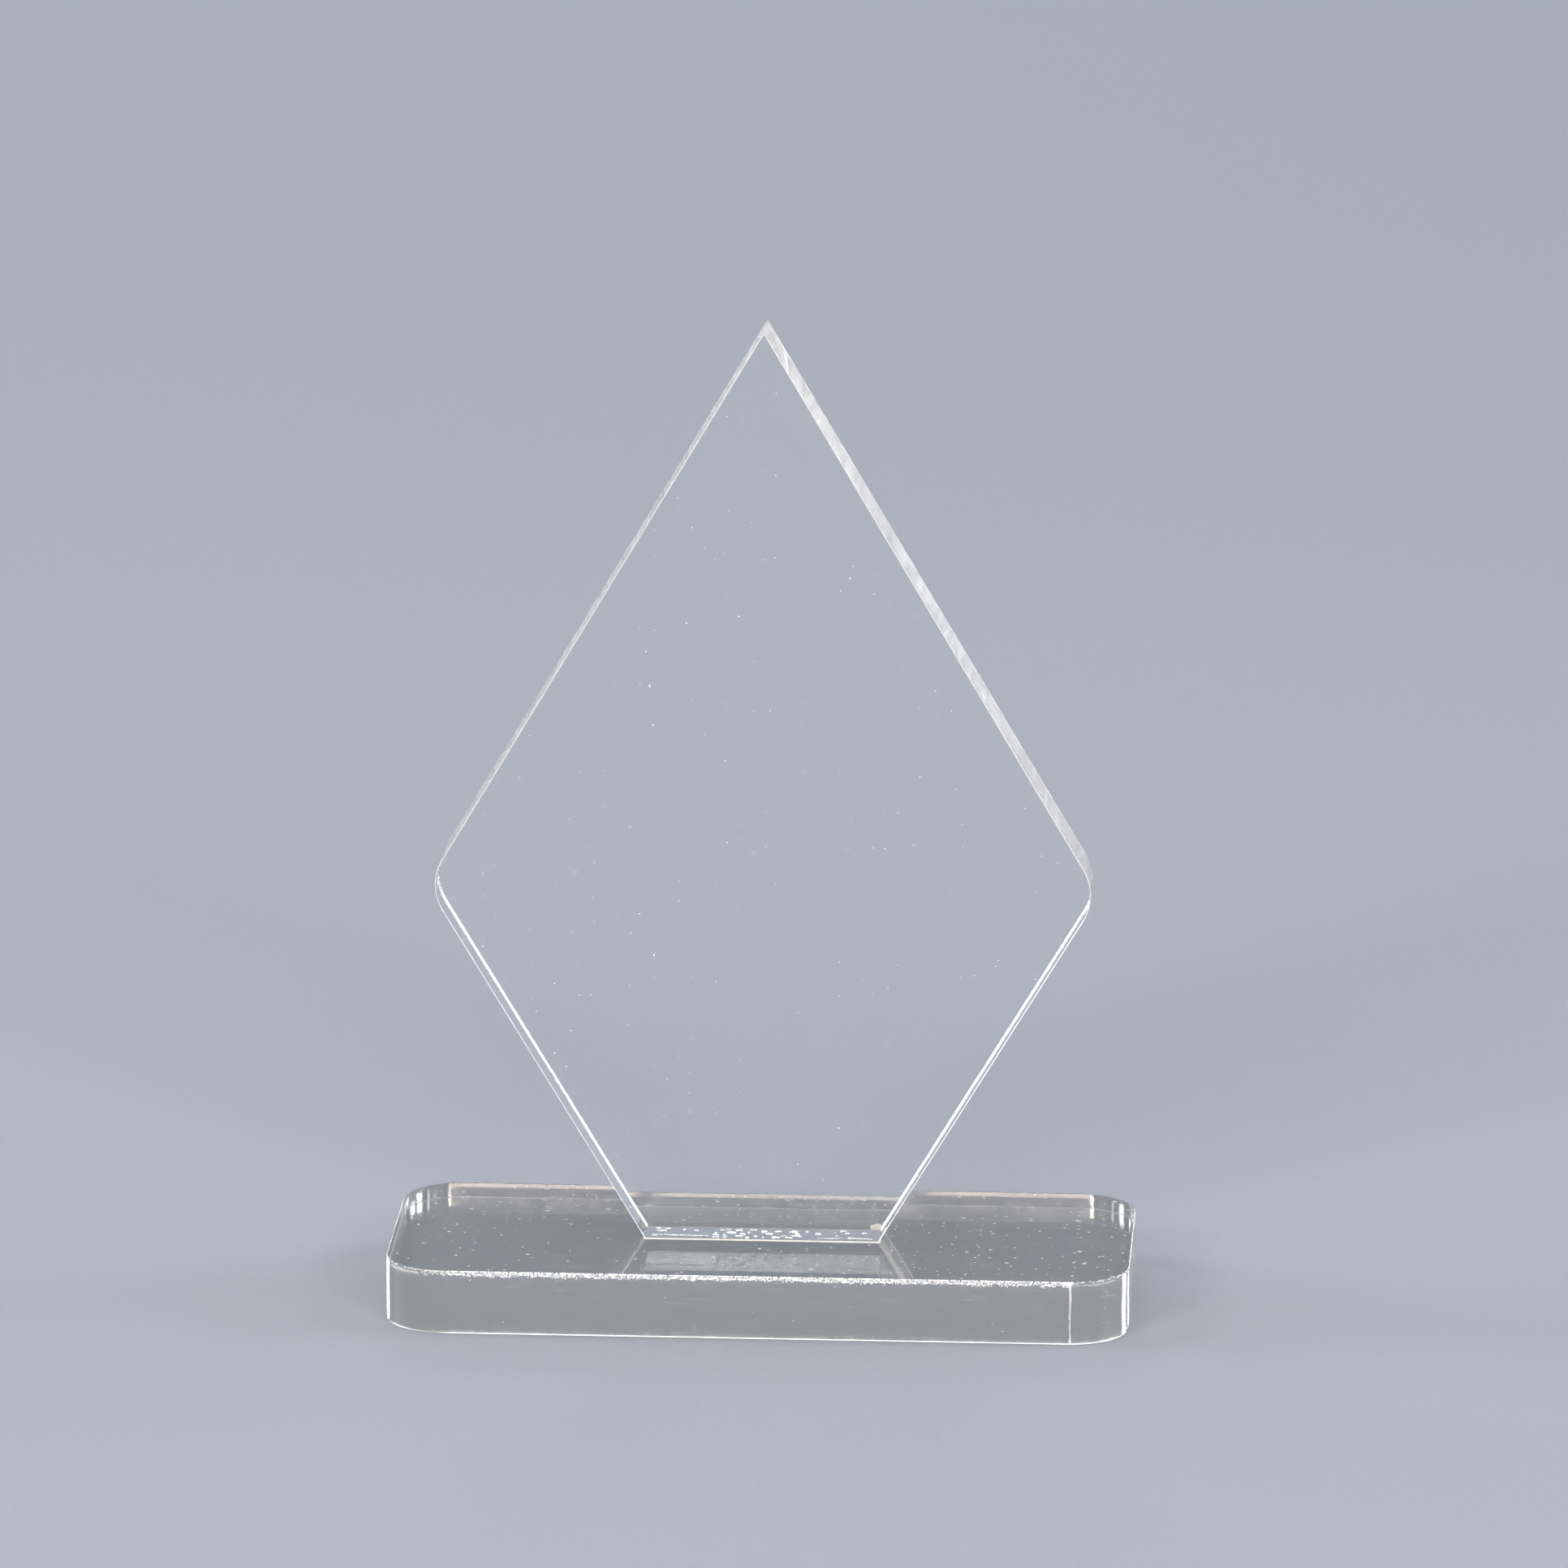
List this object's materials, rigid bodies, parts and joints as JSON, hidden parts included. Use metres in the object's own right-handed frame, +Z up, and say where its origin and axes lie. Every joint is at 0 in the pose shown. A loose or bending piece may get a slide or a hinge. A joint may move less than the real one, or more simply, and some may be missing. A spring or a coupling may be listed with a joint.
{
  "type": "crystal award",
  "caption": "Clear acrylic award: a pointed kite-shaped plate with rounded side corners, bonded upright on a flat rectangular base with rounded corners.",
  "frame": {"origin": "middle of the base's underside, on the surface the award stands on", "axes": "+Z up towards the plate's point, +X to the right along the base's long side, -Y towards the viewer in front"},
  "size_m": [0.115, 0.05, 0.1541],
  "materials": {
    "plate_acrylic": "clear cast acrylic, polished faces, laser-cut edges",
    "base_acrylic": "clear cast acrylic, polished faces, laser-cut edges",
    "cured_adhesive": "clear cured acrylic adhesive with small bubbles"
  },
  "bodies": {
    "root": {"diamond_plate": "plate_acrylic", "base_block": "base_acrylic", "adhesive_film": "cured_adhesive"}
  },
  "joints": []
}
